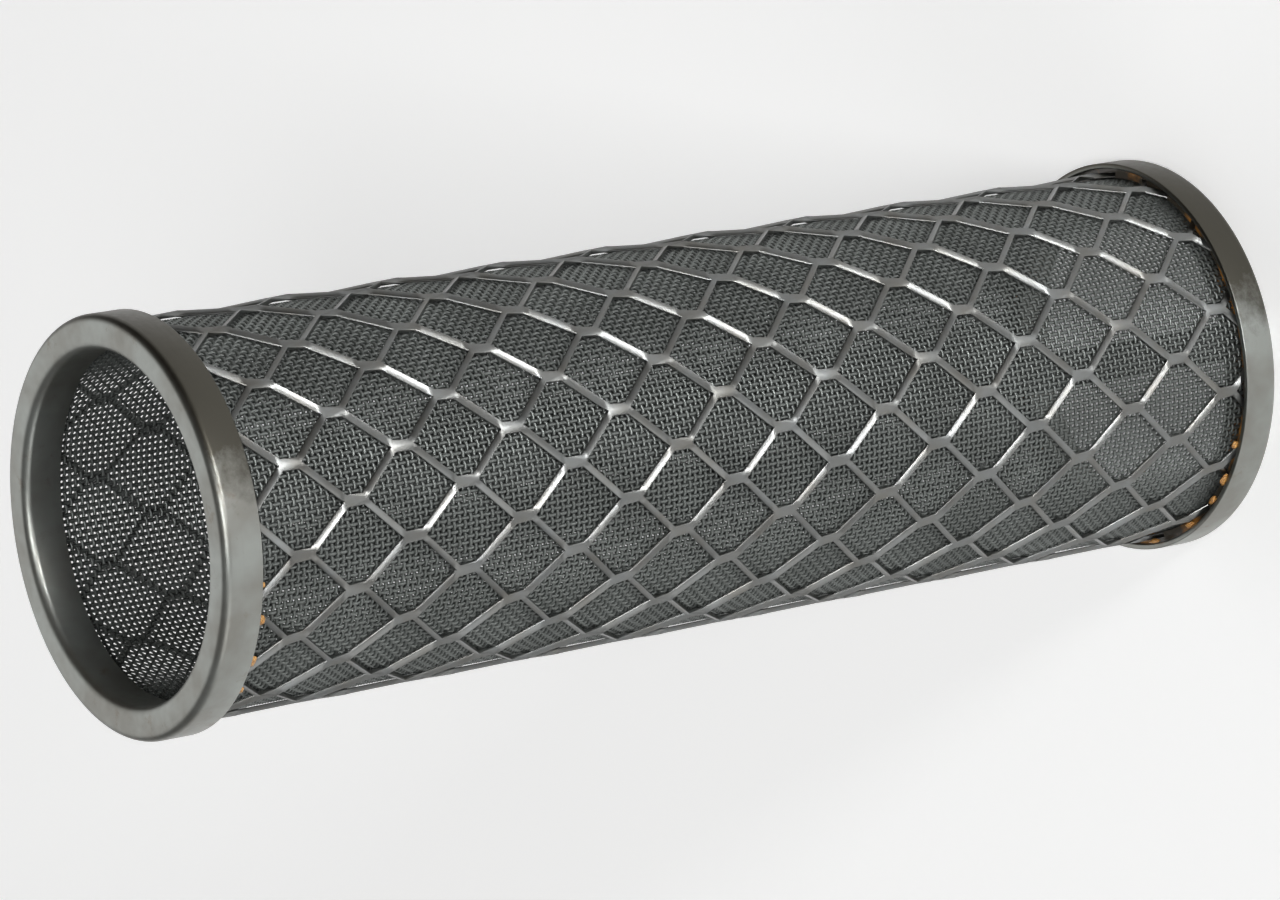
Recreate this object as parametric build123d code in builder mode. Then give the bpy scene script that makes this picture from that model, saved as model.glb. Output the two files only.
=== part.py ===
from build123d import *
import math
import os

# Mesh filter element: an open sleeve of wire cloth inside a tube of expanded metal,
# held at each end by a pressed steel ring whose channel is filled with bonding resin.
# It stands on its lower ring. The origin is the centre of the lower ring's face and
# +Z runs along the axis to the upper ring. Lengths are millimetres, angles are degrees.

# Overall length, from ring face to ring face
element_length = 185.0

# End rings, pressed from sheet steel to a U-shaped channel
ring_bore = 50.0
outer_flange_height = 6.0
inner_flange_height = 6.0
ring_sheet = 0.8
ring_bend = 1.3

# Sleeve of plain-weave wire cloth, rolled with a lap joint. Its wall has a grid of windows
# with the open share of the weave.
wire_thickness = 0.4
weave_pitch = 0.9
lap_width = 6.0
lap_angle = -90.0
window_columns = 12
window_rows = 10

# Support tube of expanded metal; the pitch is that of its openings along the tube
support_sheet = 0.8
strand_width = 0.9
opening_count = 14
opening_pitch = 18.1
bond_length = 3.2
end_row_drop = 2.35
first_bond_angle = -80.5

# Gaps: flange to lap, cloth to support tube, support tube to outer flange, and both tubes
# to the inside of the ring face
lap_clearance = 0.22
cloth_clearance = 0.05
support_clearance = 0.55
tube_end_clearance = 1.1

# Bonding resin, from the inside of the ring face
resin_depth = 4.0

# The pieces fit round one another, so their radii follow from the bore outwards.
bore_radius = ring_bore / 2
channel_inner_radius = bore_radius + ring_sheet
cloth_thickness = 2 * wire_thickness
lap_inner_radius = channel_inner_radius + lap_clearance
cloth_inner_radius = lap_inner_radius + cloth_thickness
cloth_outer_radius = cloth_inner_radius + cloth_thickness

# The support tube is made of flat facets that meet along the bond lines, because its
# strands run straight from bond to bond.
strand_count = 2 * opening_count
facet_angle = 360 / strand_count
half_facet = math.radians(facet_angle / 2)
facet_inner_distance = cloth_outer_radius + cloth_clearance
facet_outer_distance = facet_inner_distance + support_sheet
facet_half_width = facet_outer_distance * math.tan(half_facet)
support_radius = facet_outer_distance / math.cos(half_facet)

# Rings
channel_outer_radius = support_radius + support_clearance
ring_radius = channel_outer_radius + ring_sheet
upper_plane = Plane.XY.offset(element_length / 2)

# A bend is two flats whose corners lie on its arc; the middle corner is at 45 degrees.
bend_inset = ring_bend * (1 - math.cos(math.radians(45)))

# Both tubes stop short of the ring faces, and their length is a whole number of rows.
tube_bottom = ring_sheet + tube_end_clearance
tube_top = element_length - tube_bottom
tube_length = tube_top - tube_bottom
row_count = round(tube_length / (opening_pitch / 2))
row_pitch = tube_length / row_count
first_row_height = tube_bottom - end_row_drop

# A strand zigzags across its facet. Its corners are mitred, so it keeps its width.
strand_rise = 2 * facet_half_width - strand_width
strand_run = row_pitch - bond_length
strand_slope = math.atan2(strand_rise, strand_run)
mitre = strand_width / 2 * math.tan(strand_slope / 2)
long_half = bond_length / 2 + mitre
short_half = bond_length / 2 - mitre

# The lap is a second layer of cloth inside the first.
lap_turn = math.degrees(lap_width / cloth_inner_radius)

# Windows of the sleeve, between the flanges. They pass the lap too, which lies half way
# between two columns.
open_share = 1 - wire_thickness / weave_pitch
window_row_pitch = (element_length - 2 * outer_flange_height) / window_rows
window_height = window_row_pitch * open_share
window_width = 2 * math.pi * cloth_outer_radius / window_columns * open_share
window_depth = 5 * cloth_thickness
window_levels = [outer_flange_height + window_row_pitch * (row + 0.5) for row in range(window_rows)]
window_start = lap_angle + 180 / window_columns


def strand_outline(first_side):
    """Zigzag strip as (height, sideways) points; first_side is +1 or -1 in the first row."""
    inner_reach = facet_half_width - strand_width
    plus_edge = []
    minus_edge = []
    for row in range(row_count + 2):
        height = first_row_height + row * row_pitch
        if (row % 2 == 0) == (first_side > 0):
            plus_edge += [(height - long_half, facet_half_width), (height + long_half, facet_half_width)]
            minus_edge += [(height - short_half, inner_reach), (height + short_half, inner_reach)]
        else:
            plus_edge += [(height - short_half, -inner_reach), (height + short_half, -inner_reach)]
            minus_edge += [(height - long_half, -facet_half_width), (height + long_half, -facet_half_width)]
    return plus_edge + minus_edge[::-1]


def facet_plane(index):
    """Outer face of one facet: local x points up the tube, local y runs round it."""
    turn = math.radians(first_bond_angle + (index + 0.5) * facet_angle)
    outward = Vector(math.cos(turn), math.sin(turn), 0)
    return Plane(origin=outward * facet_outer_distance, x_dir=(0, 0, 1), z_dir=outward * -1)


# Lower ring: face, outer flange and inner flange in one pressing. The square inside
# corners of its channel lie in the resin.
with BuildPart() as lower_ring:
    with BuildSketch(Plane.XZ):
        with BuildLine():
            Polyline(
                (bore_radius, inner_flange_height),
                (bore_radius, ring_bend),
                (bore_radius + bend_inset, bend_inset),
                (bore_radius + ring_bend, 0),
                (ring_radius - ring_bend, 0),
                (ring_radius - bend_inset, bend_inset),
                (ring_radius, ring_bend),
                (ring_radius, outer_flange_height),
                (channel_outer_radius, outer_flange_height),
                (channel_outer_radius, ring_sheet),
                (channel_inner_radius, ring_sheet),
                (channel_inner_radius, inner_flange_height),
                close=True,
            )
        make_face()
    revolve(axis=Axis.Z)
lower_ring.part.label = "lower_ring"

# Upper ring: the same pressing, turned over
with BuildPart() as upper_ring:
    mirror(lower_ring.part, about=upper_plane)
upper_ring.part.label = "upper_ring"

# Support tube: every strand is a zigzag strip, fused to its neighbours at the bonds
with BuildPart() as support_tube:
    for strand in range(strand_count):
        with BuildSketch(facet_plane(strand)):
            Polygon(*strand_outline(1 if strand % 2 == 0 else -1), align=None)
    extrude(amount=support_sheet)
    split(bisect_by=Plane.XY.offset(tube_bottom), keep=Keep.TOP)
    split(bisect_by=Plane.XY.offset(tube_top), keep=Keep.BOTTOM)
support_tube.part.label = "support_tube"

# Mesh sleeve: the cloth is rolled to a tube, and its inner edge laps under the outer one.
# Its openings are windows in rows and columns.
with BuildPart() as mesh_sleeve:
    with BuildSketch(Plane.XY.offset(tube_bottom)):
        Circle(cloth_outer_radius)
        Circle(cloth_inner_radius, mode=Mode.SUBTRACT)
        with BuildLine():
            under_cloth = CenterArc((0, 0), cloth_inner_radius, lap_angle - lap_turn / 2, lap_turn)
            lap_inside = CenterArc((0, 0), lap_inner_radius, lap_angle - lap_turn / 2, lap_turn)
            Line(under_cloth @ 0, lap_inside @ 0)
            Line(under_cloth @ 1, lap_inside @ 1)
        make_face()
    extrude(amount=tube_length)
    with Locations(*[(0, 0, level) for level in window_levels]):
        with PolarLocations(cloth_inner_radius, window_columns, start_angle=window_start):
            Box(window_depth, window_width, window_height, mode=Mode.SUBTRACT)
mesh_sleeve.part.label = "mesh_sleeve"

# Lower bond: the resin fills the channel and the open metal, and holds both tubes
with BuildPart() as lower_bond:
    with BuildSketch(Plane.XY.offset(ring_sheet)):
        Circle(channel_outer_radius)
        Circle(channel_inner_radius, mode=Mode.SUBTRACT)
    extrude(amount=resin_depth)
    add(support_tube.part, mode=Mode.SUBTRACT)
    add(mesh_sleeve.part, mode=Mode.SUBTRACT)
lower_bond.part.label = "lower_bond"

# Upper bond: the same ring of resin, round the upper ends of the tubes
with BuildPart() as upper_bond:
    with BuildSketch(Plane.XY.offset(element_length - ring_sheet)):
        Circle(channel_outer_radius)
        Circle(channel_inner_radius, mode=Mode.SUBTRACT)
    extrude(amount=-resin_depth)
    add(support_tube.part, mode=Mode.SUBTRACT)
    add(mesh_sleeve.part, mode=Mode.SUBTRACT)
upper_bond.part.label = "upper_bond"

os.makedirs("parts", exist_ok=True)
export_step(lower_ring.part, "parts/lower_ring.step")
export_step(upper_ring.part, "parts/upper_ring.step")
export_step(support_tube.part, "parts/support_tube.step")
export_step(mesh_sleeve.part, "parts/mesh_sleeve.step")
export_step(lower_bond.part, "parts/lower_bond.step")
export_step(upper_bond.part, "parts/upper_bond.step")
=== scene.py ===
# %% [markdown]
# # A mesh filter element, dressed for its portrait
#
# The real object is an open tube that stands in a hydraulic tank line and strains the oil.
# From the inside out it is a sleeve of woven wire, a tube of expanded metal that holds the
# sleeve round, and a pressed steel ring at each end, bedded in amber resin.
#
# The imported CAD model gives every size. This script loads it, measures it, and puts
# finer pieces and real finishes in its place. All lengths are metres, with MM to turn
# millimetres into them. The tube stands on its lower ring and +Z points up its axis.

import math

import bmesh
import bpy
import numpy as np
from mathutils import Matrix, Vector
from mathutils import noise as perlin


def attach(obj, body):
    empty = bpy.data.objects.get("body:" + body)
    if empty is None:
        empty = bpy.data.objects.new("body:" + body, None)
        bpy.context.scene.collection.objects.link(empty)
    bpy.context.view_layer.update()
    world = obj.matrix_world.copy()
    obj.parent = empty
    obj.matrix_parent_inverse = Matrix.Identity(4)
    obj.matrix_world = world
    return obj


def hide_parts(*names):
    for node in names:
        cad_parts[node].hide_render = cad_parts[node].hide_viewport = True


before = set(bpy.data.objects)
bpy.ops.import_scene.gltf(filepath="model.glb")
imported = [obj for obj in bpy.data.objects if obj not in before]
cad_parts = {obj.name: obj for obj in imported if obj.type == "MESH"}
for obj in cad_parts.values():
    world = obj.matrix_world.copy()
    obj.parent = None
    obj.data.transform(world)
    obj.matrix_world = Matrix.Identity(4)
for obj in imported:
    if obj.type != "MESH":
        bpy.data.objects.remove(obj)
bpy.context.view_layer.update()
MM = 0.001

# %% [markdown]
# ## Measure before making
#
# A new piece fits only if it starts from the solid that it stands for. Each solid here is
# round, so its smallest and largest distance from the axis say more than its box does.
# Reading them from the mesh is better than typing them again, because the numbers then
# follow the CAD model if it changes.

# %% Radii and heights of the solids
def node_reach(node):
    """Smallest radius, largest radius, lowest and highest level of a CAD node."""
    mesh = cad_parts[node].data
    points = np.empty(len(mesh.vertices) * 3)
    mesh.vertices.foreach_get("co", points)
    points = points.reshape(-1, 3)
    radii = np.hypot(points[:, 0], points[:, 1])
    return radii.min(), radii.max(), points[:, 2].min(), points[:, 2].max()


bore_radius, ring_radius, _, element_length = node_reach("upper_ring")
_, support_radius, tube_bottom, tube_top = node_reach("support_tube")
_, cloth_outer_radius, _, _ = node_reach("mesh_sleeve")
tube_length = tube_top - tube_bottom
print(f"ring {ring_radius / MM:.2f} mm, bore {bore_radius / MM:.2f} mm")
print(f"support tube {support_radius / MM:.2f} mm, from {tube_bottom / MM:.2f} to {tube_top / MM:.2f} mm")

# %% [markdown]
# ## Two small helpers for pieces
#
# Every piece is made from lists of points and faces, so one helper turns them into an
# object.

# %% Piece helpers
def make_piece(name, points, faces, smooth_angle=None):
    """A mesh object. Edges sharper than smooth_angle, in degrees, stay crisp."""
    mesh = bpy.data.meshes.new(name)
    mesh.from_pydata([tuple(p) for p in points], [], faces)
    mesh.validate()
    piece = bpy.data.objects.new(name, mesh)
    bpy.context.scene.collection.objects.link(piece)
    if smooth_angle is not None:
        mesh.shade_smooth()
        mesh.set_sharp_from_angle(angle=math.radians(smooth_angle))
    return piece


def fix_piece(piece, slot, *solids):
    """Fixes a piece to the frame and lets it stand for the solids named."""
    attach(piece, "root")
    if solids:
        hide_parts(*solids)
    triangles = sum(len(p.vertices) - 2 for p in piece.data.polygons)
    print(f"{piece.name}: {triangles} triangles")


# %% [markdown]
# ## Small steps for materials
#
# A finish here is a Principled shader whose colour, roughness and bump come from noise
# that is measured in millimetres. Object coordinates are metres, so a noise scale of
# 1000 / size gives spots of that size in millimetres. The helpers add one node each and
# join it up, which keeps every material below short enough to read at a glance.

# %% Material helpers
def new_finish(name, metallic, roughness):
    """A node material and its Principled shader."""
    finish = bpy.data.materials.new(name)
    finish.use_nodes = True
    shader = finish.node_tree.nodes["Principled BSDF"]
    shader.inputs["Metallic"].default_value = metallic
    shader.inputs["Roughness"].default_value = roughness
    return finish, shader


def place_in(finish, stretch=(1, 1, 1)):
    """Object coordinates in metres, stretched along each axis."""
    tree = finish.node_tree
    where = tree.nodes.new("ShaderNodeTexCoord")
    mapping = tree.nodes.new("ShaderNodeMapping")
    mapping.inputs["Scale"].default_value = stretch
    tree.links.new(where.outputs["Object"], mapping.inputs["Vector"])
    return mapping.outputs["Vector"]


def noise(finish, size_mm, where, detail=4.0, rough=0.55):
    """Noise whose spots are about size_mm across, from 0 to 1."""
    tree = finish.node_tree
    spots = tree.nodes.new("ShaderNodeTexNoise")
    spots.inputs["Scale"].default_value = 1.0 / (size_mm * MM)
    spots.inputs["Detail"].default_value = detail
    spots.inputs["Roughness"].default_value = rough
    tree.links.new(where, spots.inputs["Vector"])
    return spots.outputs["Fac"]


def ramp(finish, value, stops):
    """Turns a value into a colour or a grey; stops are (position, colour)."""
    tree = finish.node_tree
    node = tree.nodes.new("ShaderNodeValToRGB")
    bands = node.color_ramp.elements
    while len(bands) < len(stops):
        bands.new(0.5)
    for band, (position, colour) in zip(bands, stops):
        band.position = position
        band.color = (*colour, 1.0) if len(colour) == 3 else colour
    tree.links.new(value, node.inputs["Fac"])
    return node.outputs["Color"]


def blend(finish, share, under, over):
    """Mixes two colours by a share from 0 to 1."""
    tree = finish.node_tree
    node = tree.nodes.new("ShaderNodeMix")
    node.data_type = "RGBA"
    tree.links.new(share, node.inputs["Factor"])
    for colour, socket in ((under, node.inputs[6]), (over, node.inputs[7])):
        if isinstance(colour, tuple):
            socket.default_value = (*colour, 1.0)
        else:
            tree.links.new(colour, socket)
    return node.outputs[2]


def math_step(finish, kind, first, second=None):
    """One Math node; a number or a socket can be given for each input."""
    tree = finish.node_tree
    node = tree.nodes.new("ShaderNodeMath")
    node.operation = kind
    for index, value in enumerate((first, second)):
        if value is None:
            continue
        if isinstance(value, (int, float)):
            node.inputs[index].default_value = value
        else:
            tree.links.new(value, node.inputs[index])
    return node.outputs[0]


def rough_from(finish, shader, value, low, high):
    """Roughness that varies between low and high with a value from 0 to 1."""
    tree = finish.node_tree
    node = tree.nodes.new("ShaderNodeMapRange")
    node.inputs["To Min"].default_value = low
    node.inputs["To Max"].default_value = high
    tree.links.new(value, node.inputs["Value"])
    tree.links.new(node.outputs["Result"], shader.inputs["Roughness"])


def bump_from(finish, shader, value, height_mm, strength=1.0):
    """Fine relief of a real height in millimetres."""
    tree = finish.node_tree
    node = tree.nodes.new("ShaderNodeBump")
    node.inputs["Distance"].default_value = height_mm * MM
    node.inputs["Strength"].default_value = strength
    tree.links.new(value, node.inputs["Height"])
    tree.links.new(node.outputs["Normal"], shader.inputs["Normal"])


def paint(piece, finish):
    """Gives a piece one finish."""
    piece.data.materials.clear()
    piece.data.materials.append(finish)


# %% [markdown]
# ## The ring steel
#
# The rings are pressed from mild steel sheet with a thin dull plating. It is not bright:
# its colour wanders between a grey with some green in it and a warmer brown where hands,
# oil and resin have been. Long soft scratches run round the ring from the press tool.
# Noise stretched along one direction would need a texture map to follow the circle. A
# polar angle, worked out from the object coordinates, does it without one. One side of
# the outer flange is painted nearly black: painted shade and a painted dark reflection.

# %% Ring finish
# Turn in degrees round the axis of the side of the outer flange that gets painted shade.
PAINTED_SHADE_SIDE = -25.0


def distance_out(finish, split):
    """Distance from the axis, from separated object coordinates."""
    x_square = math_step(finish, "MULTIPLY", split.outputs["X"], split.outputs["X"])
    y_square = math_step(finish, "MULTIPLY", split.outputs["Y"], split.outputs["Y"])
    return math_step(finish, "SQRT", math_step(finish, "ADD", x_square, y_square))


def polar_place(finish, stretch_round, stretch_out, stretch_up):
    """Coordinates that follow the circle: round it, out from the axis, and up it."""
    tree = finish.node_tree
    where = tree.nodes.new("ShaderNodeTexCoord")
    split = tree.nodes.new("ShaderNodeSeparateXYZ")
    join = tree.nodes.new("ShaderNodeCombineXYZ")
    tree.links.new(where.outputs["Object"], split.inputs["Vector"])
    angle = math_step(finish, "ARCTAN2", split.outputs["Y"], split.outputs["X"])
    out = distance_out(finish, split)
    arc = math_step(finish, "MULTIPLY", angle, ring_radius * stretch_round)
    tree.links.new(arc, join.inputs["X"])
    tree.links.new(math_step(finish, "MULTIPLY", out, stretch_out), join.inputs["Y"])
    tree.links.new(math_step(finish, "MULTIPLY", split.outputs["Z"], stretch_up), join.inputs["Z"])
    return join.outputs["Vector"]


ring_steel, ring_shader = new_finish("ring_steel", 1.0, 0.4)
ring_place = place_in(ring_steel)
clouds = noise(ring_steel, 9, ring_place, detail=3)
speckle = noise(ring_steel, 1.2, ring_place, detail=5)
scratches = noise(ring_steel, 0.6, polar_place(ring_steel, 0.06, 1.0, 1.0), detail=3)
plate_colour = ramp(ring_steel, clouds, [(0.35, (0.27, 0.268, 0.245)), (0.62, (0.35, 0.365, 0.345))])
stain_share = ramp(ring_steel, noise(ring_steel, 6, ring_place, detail=6, rough=0.7),
                   [(0.60, (0, 0, 0)), (0.78, (0.7, 0.7, 0.7))])
stained = blend(ring_steel, stain_share, plate_colour, (0.16, 0.10, 0.055))
# Painted shade and painted dark reflection: on one side, with a noisy edge, the outer flange is painted nearly black
# brown.
ring_split = ring_steel.node_tree.nodes.new("ShaderNodeSeparateXYZ")
ring_steel.node_tree.links.new(ring_place, ring_split.inputs["Vector"])
dark_turn = math.radians(PAINTED_SHADE_SIDE)
toward_x = math_step(ring_steel, "MULTIPLY", ring_split.outputs["X"], math.cos(dark_turn) / ring_radius)
toward_y = math_step(ring_steel, "MULTIPLY", ring_split.outputs["Y"], math.sin(dark_turn) / ring_radius)
toward_dark = math_step(ring_steel, "ADD", toward_x, toward_y)
wavering = math_step(ring_steel, "MULTIPLY", noise(ring_steel, 4, ring_place, detail=5, rough=0.7), 0.5)
painted_shade_share = ramp(ring_steel, math_step(ring_steel, "ADD", toward_dark, wavering),
                  [(0.66, (0, 0, 0)), (0.90, (1, 1, 1))])
flange_share = ramp(ring_steel, math_step(ring_steel, "DIVIDE", distance_out(ring_steel, ring_split), ring_radius),
                    [(0.965, (0, 0, 0)), (0.992, (1, 1, 1))])
ring_colour_with_painted_shade = blend(ring_steel, math_step(ring_steel, "MULTIPLY", painted_shade_share, flange_share), stained, (0.085, 0.080, 0.066))
ring_steel.node_tree.links.new(ring_colour_with_painted_shade, ring_shader.inputs["Base Color"])
rough_from(ring_steel, ring_shader, speckle, 0.30, 0.50)
bump_from(ring_steel, ring_shader, scratches, 0.012)

# %% [markdown]
# ## The end rings
#
# A pressed ring is a U-shaped channel: a flat face, a flange outside and a flange inside,
# with a round bend where each flange meets the face. The CAD solid keeps the bends as two
# flats, which is enough for its form. Here they matter, because a bright line runs along
# each one. So the section is drawn again with true arcs and turned round the axis.

# %% Build the rings
RING_SHEET = 0.8 * MM
RING_BEND = 1.3 * MM
FLANGE = 6.0 * MM
RING_STEPS = 288
BEND_STEPS = 8


def arc_points(centre, radius, start, end, steps):
    """Points on an arc in the section plane, as (radius, height); angles in degrees."""
    turns = np.radians(np.linspace(start, end, steps + 1))
    return [(centre[0] + radius * math.cos(t), centre[1] + radius * math.sin(t)) for t in turns]


def ring_section():
    """The channel's closed outline, with its face at height 0 and its flanges upwards."""
    inside_bend = RING_BEND - RING_SHEET
    edge = 0.15 * MM
    inner, outer = bore_radius, ring_radius
    outline = arc_points((inner + edge, FLANGE - edge), edge, 90, 180, 3)
    outline += arc_points((inner + RING_BEND, RING_BEND), RING_BEND, 180, 270, BEND_STEPS)
    outline += arc_points((outer - RING_BEND, RING_BEND), RING_BEND, 270, 360, BEND_STEPS)
    outline += arc_points((outer - edge, FLANGE - edge), edge, 0, 90, 3)
    outline += arc_points((outer - RING_SHEET + edge, FLANGE - edge), edge, 90, 180, 3)
    outline += arc_points((outer - RING_BEND, RING_BEND), inside_bend, 360, 270, 3)
    outline += arc_points((inner + RING_BEND, RING_BEND), inside_bend, 270, 180, 3)
    outline += arc_points((inner + RING_SHEET - edge, FLANGE - edge), edge, 0, 90, 3)
    return outline


def turned_ring(name, section):
    """Turns a closed section round the axis."""
    turns = np.linspace(0, 2 * math.pi, RING_STEPS, endpoint=False)
    points = [(r * math.cos(t), r * math.sin(t), z) for t in turns for r, z in section]
    count = len(section)
    faces = []
    for step in range(RING_STEPS):
        here, there = step * count, (step + 1) % RING_STEPS * count
        for k in range(count):
            after = (k + 1) % count
            faces.append((here + k, there + k, there + after, here + after))
    return make_piece(name, points, faces, smooth_angle=50)


lower_ring_piece = turned_ring("end_ring_lower", ring_section())
upper_ring_piece = turned_ring(
    "end_ring_upper", [(r, element_length - z) for r, z in ring_section()][::-1])
for piece, solid in ((lower_ring_piece, "lower_ring"), (upper_ring_piece, "upper_ring")):
    paint(piece, ring_steel)
    fix_piece(piece, "ring_steel", solid)

# %% [markdown]
# ## The expanded metal
#
# Expanded metal starts as one sheet. It is slit in staggered rows and pulled, so that the
# slits open into diamonds. What is left are strands, which zigzag up the tube, and the
# bonds where two strands stay joined. Rolling and tumbling round off the cut edges, and
# that is what the light shows: a strand is bright along its crown where it lies across
# the light and dark where it lies along it.
#
# The mesh has two layers of points, outside and inside, on flat facets that meet at the
# bonds. Walls close the openings. Stretching the sheet also twists a strand a little about
# its own length, so the upper edge of its outer face lies deeper than the lower one. Each
# strand is cut in three near its ends, because smooth shading would otherwise blend it
# with the bonds all the way, and the twist would not show. A bevel then rounds every cut
# edge at once.

# %% Lattice points
OPENING_COUNT = 14
ROW_COUNT = 20
STRAND_WIDTH = 0.9 * MM
SUPPORT_SHEET = 0.8 * MM
BOND_LENGTH = 3.2 * MM
END_ROW_DROP = 2.35 * MM
FIRST_BOND_ANGLE = -80.5
LEAN = 0.55 * MM
STRAND_CUTS = (0.12, 0.88)

strand_count = 2 * OPENING_COUNT
facet_turn = 2 * math.pi / strand_count
row_pitch = tube_length / ROW_COUNT
outer_distance = support_radius * math.cos(facet_turn / 2)
half_width = outer_distance * math.tan(facet_turn / 2)
inner_reach = half_width - STRAND_WIDTH
slope = math.atan2(2 * half_width - STRAND_WIDTH, row_pitch - BOND_LENGTH)
mitre = STRAND_WIDTH / 2 * math.tan(slope / 2)
long_half = BOND_LENGTH / 2 + mitre
short_half = BOND_LENGTH / 2 - mitre


def facet_point(facet, corner, height, layer):
    """A corner on a facet; layer 0 is the outside and 1 the inside.

    A corner is (across, up, leaning). A leaning one lies deeper on the outside.
    """
    across, up, leaning = corner
    turn = math.radians(FIRST_BOND_ANGLE) + (facet + 0.5) * facet_turn
    distance = outer_distance - (SUPPORT_SHEET if layer else LEAN * leaning)
    if abs(across) > half_width - 0.001 * MM:
        across *= distance / outer_distance
    outward = Vector((math.cos(turn), math.sin(turn), 0))
    sideways = Vector((-math.sin(turn), math.cos(turn), 0))
    return outward * distance + sideways * across + Vector((0, 0, height + up))


print(f"row pitch {row_pitch / MM:.3f} mm, strand slope {math.degrees(slope):.1f} degrees")

# %% [markdown]
# Neighbouring facets share the points on their bond line. bmesh can join them afterwards
# with remove_doubles, which is simpler than keeping count of who owns which point.

# %% Faces of the support tube
def row_outlines(side):
    """Half a bond and the strand above it, with their rim edges, on the side +1 or -1."""
    outer_top = (side * half_width, long_half, True)
    outer_bottom = (side * half_width, -long_half, False)
    inner_top = (side * inner_reach, short_half, False)
    inner_bottom = (side * inner_reach, -short_half, True)
    far_top = (-side * inner_reach, row_pitch - short_half, True)
    far_bottom = (-side * half_width, row_pitch - long_half, False)

    def part_way(start, end, share):
        return (start[0] + share * (end[0] - start[0]), start[1] + share * (end[1] - start[1]), start[2])

    upper = [outer_top] + [part_way(outer_top, far_top, share) for share in STRAND_CUTS] + [far_top]
    lower = [inner_top] + [part_way(inner_top, far_bottom, share) for share in STRAND_CUTS] + [far_bottom]
    outlines = [[outer_bottom, outer_top, inner_top, inner_bottom]]
    rims = [(inner_bottom, inner_top)]
    for k in range(len(upper) - 1):
        outlines.append([upper[k], upper[k + 1], lower[k + 1], lower[k]])
        rims += [(lower[k], lower[k + 1]), (upper[k + 1], upper[k])]
    return outlines, rims


def support_mesh():
    """The whole lattice as one closed mesh with its cut edges rounded."""
    mesh = bmesh.new()
    walls = []
    for facet in range(strand_count):
        for row in range(ROW_COUNT + 2):
            height = tube_bottom - END_ROW_DROP + row * row_pitch
            side = 1 if (row + facet) % 2 == 0 else -1
            outlines, rims = row_outlines(side)
            for outline in outlines:
                for layer in (0, 1):
                    mesh.faces.new([mesh.verts.new(facet_point(facet, c, height, layer)) for c in outline])
            for start, end in rims:
                loop = [(start, 0), (end, 0), (end, 1), (start, 1)]
                walls.append(mesh.faces.new([mesh.verts.new(facet_point(facet, c, height, layer))
                                             for c, layer in loop]))
    bmesh.ops.remove_doubles(mesh, verts=mesh.verts, dist=0.01 * MM)
    bmesh.ops.recalc_face_normals(mesh, faces=mesh.faces)
    wall_set = set(walls)
    cut_edges = [e for e in mesh.edges
                 if len(e.link_faces) == 2 and sum(f in wall_set for f in e.link_faces) == 1]
    bmesh.ops.bevel(mesh, geom=cut_edges, offset=EDGE_ROUND, segments=EDGE_STEPS,
                    profile=0.5, affect="EDGES", clamp_overlap=True)
    return mesh


# %% Build the support tube
EDGE_ROUND = 0.17 * MM
EDGE_STEPS = 3

lattice = support_mesh()
for level, keep_up in ((tube_bottom, True), (tube_top, False)):
    everything = lattice.verts[:] + lattice.edges[:] + lattice.faces[:]
    cut = bmesh.ops.bisect_plane(lattice, geom=everything, plane_co=(0, 0, level),
                                 plane_no=(0, 0, -1 if keep_up else 1), clear_outer=True)
    rim = [e for e in cut["geom_cut"] if isinstance(e, bmesh.types.BMEdge)]
    bmesh.ops.edgenet_fill(lattice, edges=rim)
support_data = bpy.data.meshes.new("expanded_tube")
lattice.to_mesh(support_data)
lattice.free()
support_piece = bpy.data.objects.new("expanded_tube", support_data)
bpy.context.scene.collection.objects.link(support_piece)
support_data.shade_smooth()
support_data.set_sharp_from_angle(angle=math.radians(42))

# %% [markdown]
# The strands have the same steel as the rings under a brighter, slightly blue plating. Its
# colour wanders at random between a warm grey and a slightly blue one.

# %% Finish of the expanded metal
strand_steel, strand_shader = new_finish("expanded_steel", 1.0, 0.4)
strand_place = place_in(strand_steel)
strand_clouds = noise(strand_steel, 5, strand_place, detail=4)
strand_grain = noise(strand_steel, 0.25, strand_place, detail=3)
strand_colour = ramp(strand_steel, strand_clouds,
                     [(0.30, (0.19, 0.186, 0.172)), (0.55, (0.215, 0.22, 0.215)), (0.75, (0.235, 0.245, 0.245))])
strand_steel.node_tree.links.new(strand_colour, strand_shader.inputs["Base Color"])
rough_from(strand_steel, strand_shader, noise(strand_steel, 1.5, strand_place), 0.30, 0.42)
bump_from(strand_steel, strand_shader, strand_grain, 0.006)
paint(support_piece, strand_steel)
fix_piece(support_piece, "expanded_steel", "support_tube")

# %% [markdown]
# ## The woven wire
#
# The sleeve is plain weave, like simple cloth: every lengthwise wire goes over one round
# wire and under the next, and its neighbour does the opposite. There are about 28 wires
# to the inch, each 0.4 mm thick, so nearly forty thousand crossings. A bump map could
# draw them, but the light falls between real wires and through the holes, and that dark
# depth is what makes the photo look like cloth.
#
# So the wires are real, but thrifty. Each has one ring of four points at every crossing,
# out, left, in and right, and zigzags from ring to ring. Smooth shading makes it round.
# The wires are a little wider than they are thick, as in cloth that was rolled flat.

# %% Weave sizes
WIRE = 0.4 * MM
WIRE_WIDTH = 0.62 * MM
WIRES_ROUND = 190
WIRES_UP = 200
cloth_radius = cloth_outer_radius - WIRE
pitch_up = tube_length / WIRES_UP
pitch_round = 2 * math.pi / WIRES_ROUND
print(f"weave pitch {pitch_up / MM:.3f} mm up, {pitch_round * cloth_radius / MM:.3f} mm round")

# %% [markdown]
# One function lays the lengthwise wires and the round ones. It works on whole arrays with
# numpy, because a Python loop over forty thousand crossings would be slow. The place of a
# ring follows from its wire's number and its crossing's number: where their sum is even
# the lengthwise wire is outside, and where it is odd the round one is.

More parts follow.
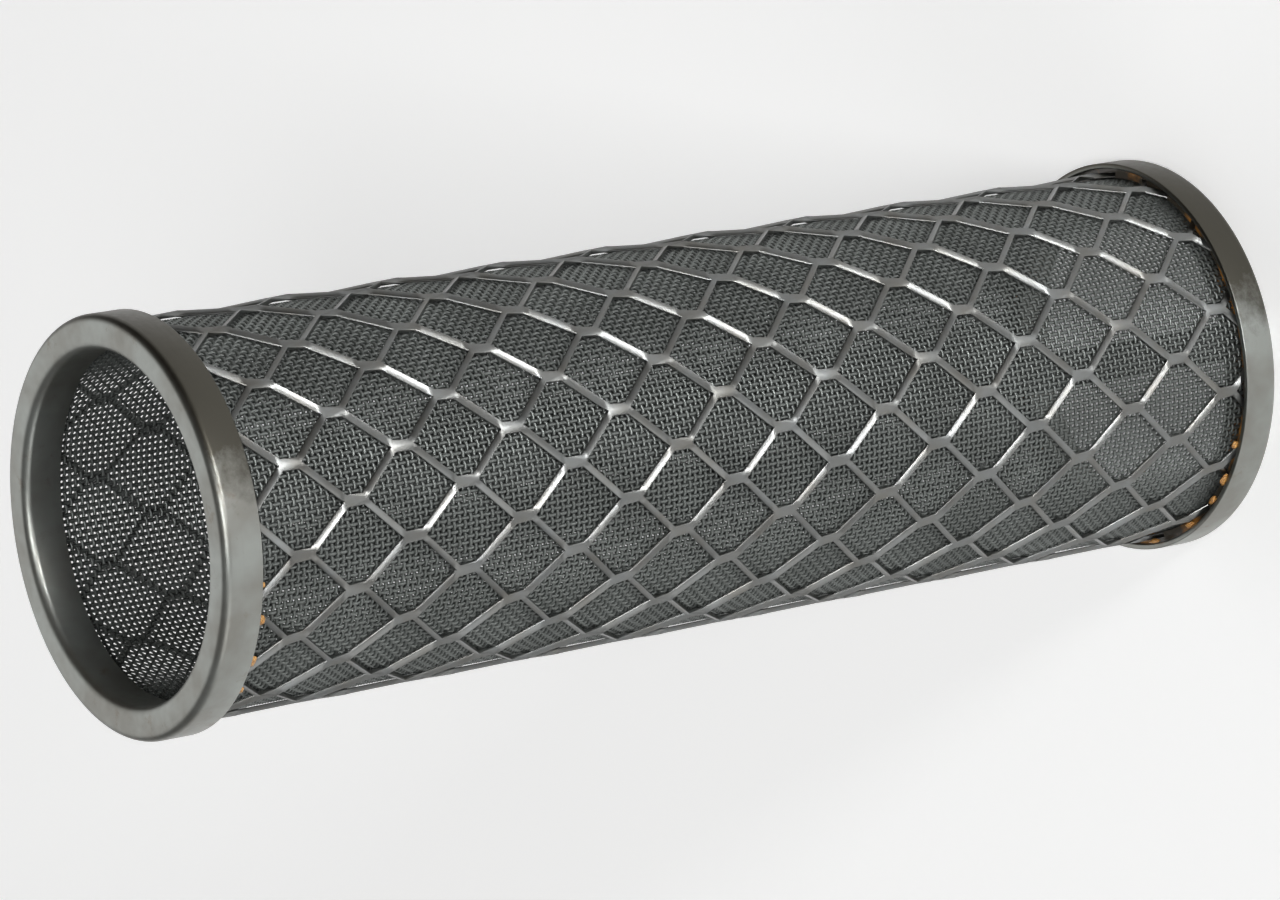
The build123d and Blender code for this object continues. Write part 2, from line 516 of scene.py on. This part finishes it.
# %% Lay the wires
def lay_wires(name, rounds, ups, along_up, radius):
    """One set of wires over a grid of crossings; a full circle of crossings is closed."""
    wires, crossings = (rounds, ups) if along_up else (ups, rounds)
    closed = not along_up and len(rounds) == WIRES_ROUND
    wire, crossing = np.meshgrid(wires, crossings, indexing="ij")
    outside = np.where((wire + crossing) % 2 == 0, 1.0, -1.0) * (1 if along_up else -1)
    turn, rise = (wire, crossing) if along_up else (crossing, wire)
    angle = (turn * pitch_round)[..., None]
    level = (tube_bottom + (rise + 0.5) * pitch_up)[..., None]
    lift = np.array([1.0, 0.0, -1.0, 0.0]) * WIRE / 2
    aside = np.array([0.0, 1.0, 0.0, -1.0]) * WIRE_WIDTH / 2
    distance = radius + outside[..., None] * WIRE / 2 + lift
    if along_up:
        angle, level = angle + aside / radius, level + 0 * aside
    else:
        angle, level = angle + 0 * aside, level - aside
    points = np.stack([distance * np.cos(angle), distance * np.sin(angle), level], -1)
    ring = 4 * np.arange(wire.size).reshape(wire.shape)
    here, there = (ring, np.roll(ring, -1, axis=1)) if closed else (ring[:, :-1], ring[:, 1:])
    faces = [np.stack([here + k, here + (k + 1) % 4, there + (k + 1) % 4, there + k], -1).reshape(-1, 4)
             for k in range(4)]
    return wire_piece(name, points, np.concatenate(faces))


def wire_piece(name, points, faces):
    """A mesh object from arrays."""
    mesh = bpy.data.meshes.new(name)
    mesh.vertices.add(points.size // 3)
    mesh.vertices.foreach_set("co", points.astype(np.float32).ravel())
    mesh.loops.add(faces.size)
    mesh.loops.foreach_set("vertex_index", faces.ravel())
    mesh.polygons.add(len(faces))
    mesh.polygons.foreach_set("loop_start", np.arange(0, faces.size, 4))
    mesh.update(calc_edges=True)
    mesh.shade_smooth()
    piece = bpy.data.objects.new(name, mesh)
    bpy.context.scene.collection.objects.link(piece)
    return piece


all_round = np.arange(WIRES_ROUND)
all_up = np.arange(WIRES_UP)
halves_round = np.array_split(all_round, 2)
halves_up = np.array_split(all_up, 2)
cloth_pieces = [
    lay_wires("cloth_long_wires_1", halves_round[0], all_up, True, cloth_radius),
    lay_wires("cloth_long_wires_2", halves_round[1], all_up, True, cloth_radius),
    lay_wires("cloth_round_wires_1", all_round, halves_up[0], False, cloth_radius),
    lay_wires("cloth_round_wires_2", all_round, halves_up[1], False, cloth_radius),
]

# %% [markdown]
# The sleeve is closed by a lap: for a few wires' width a second layer lies inside the
# first. It is made by the same function on a smaller radius.

# %% Lap of the sleeve
LAP_WIDTH = 6.0 * MM
LAP_ANGLE = -90.0
lap_radius = cloth_radius - 2 * WIRE
lap_wires = round(LAP_WIDTH / (pitch_round * cloth_radius))
first_lap_wire = round(math.radians(LAP_ANGLE) / pitch_round - lap_wires / 2)
lap_round = np.arange(first_lap_wire, first_lap_wire + lap_wires)
cloth_pieces.append(lay_wires("lap_long_wires", lap_round, all_up, True, lap_radius))
cloth_pieces.append(lay_wires("lap_round_wires", lap_round, all_up, False, lap_radius))
print("lap wires", lap_wires)

# %% [markdown]
# The wire is drawn steel, smoother than the sheet and darker. The colour changes a little
# from place to place, as cloth that has been handled does.

# %% Finish of the wire
wire_steel, wire_shader = new_finish("wire_cloth", 0.75, 0.45)
wire_place = place_in(wire_steel)
wire_colour = ramp(wire_steel, noise(wire_steel, 12, wire_place, detail=3),
                   [(0.35, (0.14, 0.15, 0.143)), (0.65, (0.185, 0.198, 0.19))])
wire_steel.node_tree.links.new(wire_colour, wire_shader.inputs["Base Color"])
rough_from(wire_steel, wire_shader, noise(wire_steel, 0.8, wire_place), 0.36, 0.50)
for piece in cloth_pieces:
    paint(piece, wire_steel)
    solids = ("mesh_sleeve",) if piece is cloth_pieces[0] else ()
    fix_piece(piece, "wire_cloth", *solids)

# %% [markdown]
# ## The resin
#
# Amber resin fills the ring's channel. The solids for it are good as they are and only
# need a finish: opaque brown, glossy, its colour wandering between dark brown and amber.

# %% Finish of the resin
resin, resin_shader = new_finish("amber_resin", 0.0, 0.25)
resin_place = place_in(resin)
resin_colour = ramp(resin, noise(resin, 7, resin_place, detail=5),
                    [(0.50, (0.055, 0.045, 0.033)), (0.62, (0.42, 0.19, 0.045))])
resin.node_tree.links.new(resin_colour, resin_shader.inputs["Base Color"])
bump_from(resin, resin_shader, noise(resin, 1.0, resin_place), 0.05)
for name in ("lower_bond", "upper_bond"):
    paint(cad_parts[name], resin)

# %% [markdown]
# Where the resin was pressed out it set as small drops on the flange's edge. The photo
# shows nine of them, and each is given by its turn round the axis and its height. A drop
# is a round mesh that is squashed, then roughened with noise from a fixed place, so it is
# the same on every run.

# %% Drops of resin
DROP_RADIUS = 28.75 * MM
DROPS = [  # turn in degrees, height, width and depth in millimetres
    (-112.2, 178.4, 0.8, 0.5), (-122.8, 178.1, 1.4, 0.8), (-137.0, 178.1, 1.9, 0.9),
    (-149.0, 177.9, 1.2, 0.7), (-123.8, 6.1, 1.3, 0.8), (-136.8, 5.9, 2.2, 0.9),
    (-145.8, 5.9, 1.6, 0.8), (-160.0, 6.1, 1.5, 0.8), (-178.2, 6.4, 1.8, 1.0)]


def resin_drops():
    """All the drops as one mesh."""
    mesh = bmesh.new()
    for turn, level, width, depth in DROPS:
        turn = math.radians(turn)
        around = Vector((-math.sin(turn), math.cos(turn), 0))
        outward = Vector((math.cos(turn), math.sin(turn), 0))
        middle = outward * DROP_RADIUS + Vector((0, 0, level * MM))
        ball = bmesh.ops.create_icosphere(mesh, subdivisions=3, radius=0.5)
        for point in ball["verts"]:
            swell = 1.0 + 0.35 * perlin.noise(point.co * 3.0 + middle * 1000)
            x, y, z = point.co * swell
            point.co = middle + around * x * width * MM + outward * y * 0.7 * MM + Vector((0, 0, z * depth * 1.6 * MM))
    data = bpy.data.meshes.new("resin_drops")
    mesh.to_mesh(data)
    mesh.free()
    data.shade_smooth()
    piece = bpy.data.objects.new("resin_drops", data)
    bpy.context.scene.collection.objects.link(piece)
    return piece


drop_resin, drop_shader = new_finish("drop_resin", 0.0, 0.3)
drop_place = place_in(drop_resin)
drop_colour = ramp(drop_resin, noise(drop_resin, 0.8, drop_place),
                   [(0.35, (0.36, 0.16, 0.04)), (0.65, (0.62, 0.33, 0.10))])
drop_resin.node_tree.links.new(drop_colour, drop_shader.inputs["Base Color"])
bump_from(drop_resin, drop_shader, noise(drop_resin, 0.4, drop_place), 0.04)
drops = resin_drops()
paint(drops, drop_resin)
fix_piece(drops, "amber_resin")

# %% [markdown]
# ## Floor and light
#
# The floor is a wide pale disc. The camera looks down on it, so it is also the white
# background. The lamps are large and soft: a main one beside the camera, which draws the
# bright crowns of the strands, and weaker ones that keep the shadows open.

# %% Floor
floor_mesh = bpy.data.meshes.new("floor")
FLOOR_RADIUS = 6.0
FLOOR_GLOW = 0.38
floor_turns = np.linspace(0, 2 * math.pi, 96, endpoint=False)
floor_mesh.from_pydata([(FLOOR_RADIUS * math.cos(t), FLOOR_RADIUS * math.sin(t), 0) for t in floor_turns],
                       [], [tuple(range(96))])
floor = bpy.data.objects.new("floor", floor_mesh)
bpy.context.scene.collection.objects.link(floor)
floor_paint = bpy.data.materials.new("floor_paint")
floor_paint.use_nodes = True
floor_shader = floor_paint.node_tree.nodes["Principled BSDF"]
floor_shader.inputs["Base Color"].default_value = (0.92, 0.92, 0.92, 1)
floor_shader.inputs["Roughness"].default_value = 0.9
floor_shader.inputs["Emission Color"].default_value = (1, 1, 1, 1)
light_path = floor_paint.node_tree.nodes.new("ShaderNodeLightPath")
seen = math_step(floor_paint, "ADD", light_path.outputs["Is Camera Ray"], light_path.outputs["Is Glossy Ray"])
seen = math_step(floor_paint, "ADD", seen, light_path.outputs["Is Transmission Ray"])
floor_glow = math_step(floor_paint, "MULTIPLY", seen, FLOOR_GLOW)
floor_paint.node_tree.links.new(floor_glow, floor_shader.inputs["Emission Strength"])
floor.data.materials.append(floor_paint)

# %% Lamps
CENTRE = Vector((0, 0, element_length / 2))


def soft_lamp(name, level, turn, rise, distance, size, spread):
    """A square lamp that faces the tube, from a turn round it and a rise, in degrees.

    Level 1 makes white paper that faces the lamp render as white. A spread under 180
    degrees is what a grid on the lamp does: the light stays on the tube and its floor.
    """
    turn, rise = math.radians(turn), math.radians(rise)
    direction = Vector((math.cos(turn) * math.cos(rise), math.sin(turn) * math.cos(rise), math.sin(rise)))
    lamp = bpy.data.lights.new(name, "AREA")
    lamp.size = size
    half_spread = math.radians(spread / 2)
    gain = math.tan(half_spread) / (math.tan(half_spread) - half_spread)
    lamp.energy = level * math.pi ** 2 * distance ** 2 / gain
    lamp.spread = math.radians(spread)
    shown = bpy.data.objects.new(name, lamp)
    shown.location = CENTRE + direction * distance
    shown.rotation_euler = direction.to_track_quat("Z", "Y").to_euler()
    bpy.context.scene.collection.objects.link(shown)
    return shown


soft_lamp("low_lamp", 0.60, -72, 6, 2.0, 0.35, 40)
soft_lamp("main_lamp", 0.42, -95, 38, 2.0, 0.40, 80)
soft_lamp("side_lamp", 0.36, -150, 7, 1.5, 1.20, 90)
soft_lamp("back_lamp", 0.36, 85, 34, 1.5, 1.60, 120)

# %% [markdown]
# The world gives a weak light from all round. It is darker and browner on one side, so
# that the tube has a shaded side, as it has in the photo.

# %% World
world = bpy.data.worlds.new("room")
bpy.context.scene.world = world
world.use_nodes = True
tree = world.node_tree
background = tree.nodes["Background"]
world_place = tree.nodes.new("ShaderNodeTexCoord")
world_split = tree.nodes.new("ShaderNodeSeparateXYZ")
world_range = tree.nodes.new("ShaderNodeMapRange")
world_range.inputs["From Min"].default_value = -1.0
world_colour = tree.nodes.new("ShaderNodeValToRGB")
world_colour.color_ramp.elements[0].color = (0.22, 0.225, 0.225, 1)
world_colour.color_ramp.elements[1].color = (0.045, 0.038, 0.030, 1)
tree.links.new(world_place.outputs["Generated"], world_split.inputs["Vector"])
tree.links.new(world_split.outputs["X"], world_range.inputs["Value"])
tree.links.new(world_range.outputs["Result"], world_colour.inputs["Fac"])
tree.links.new(world_colour.outputs["Color"], background.inputs["Color"])

# %% [markdown]
# ## Camera
#
# The photo shows the tube lying across the picture. The tube here stands up, so it is the
# camera that is rolled, by nearly a right angle. Its place and lens come from matching
# the bonds and the ring edges of the model to the photo.

# %% Camera
CAMERA_PLACE = Vector((-1.539, -767.452, 605.535)) * MM
LOOK_DOWN = 33.5513
ROLL = 99.76
LENS = 177.295

forward = Vector((0, math.cos(math.radians(LOOK_DOWN)), -math.sin(math.radians(LOOK_DOWN))))
level_right = forward.cross(Vector((0, 0, 1))).normalized()
level_up = level_right.cross(forward)
turn = math.radians(ROLL)
right = level_right * math.cos(turn) - level_up * math.sin(turn)
up = level_up * math.cos(turn) + level_right * math.sin(turn)

camera_data = bpy.data.cameras.new("camera")
camera_data.lens = LENS
camera_data.sensor_width = 36.0
camera_data.clip_start = 0.05
camera = bpy.data.objects.new("camera", camera_data)
axes = Matrix((right, up, -forward)).transposed()
camera.matrix_world = Matrix.Translation(CAMERA_PLACE) @ axes.to_4x4()
bpy.context.scene.collection.objects.link(camera)
bpy.context.scene.camera = camera
bpy.context.scene.view_settings.view_transform = "Standard"
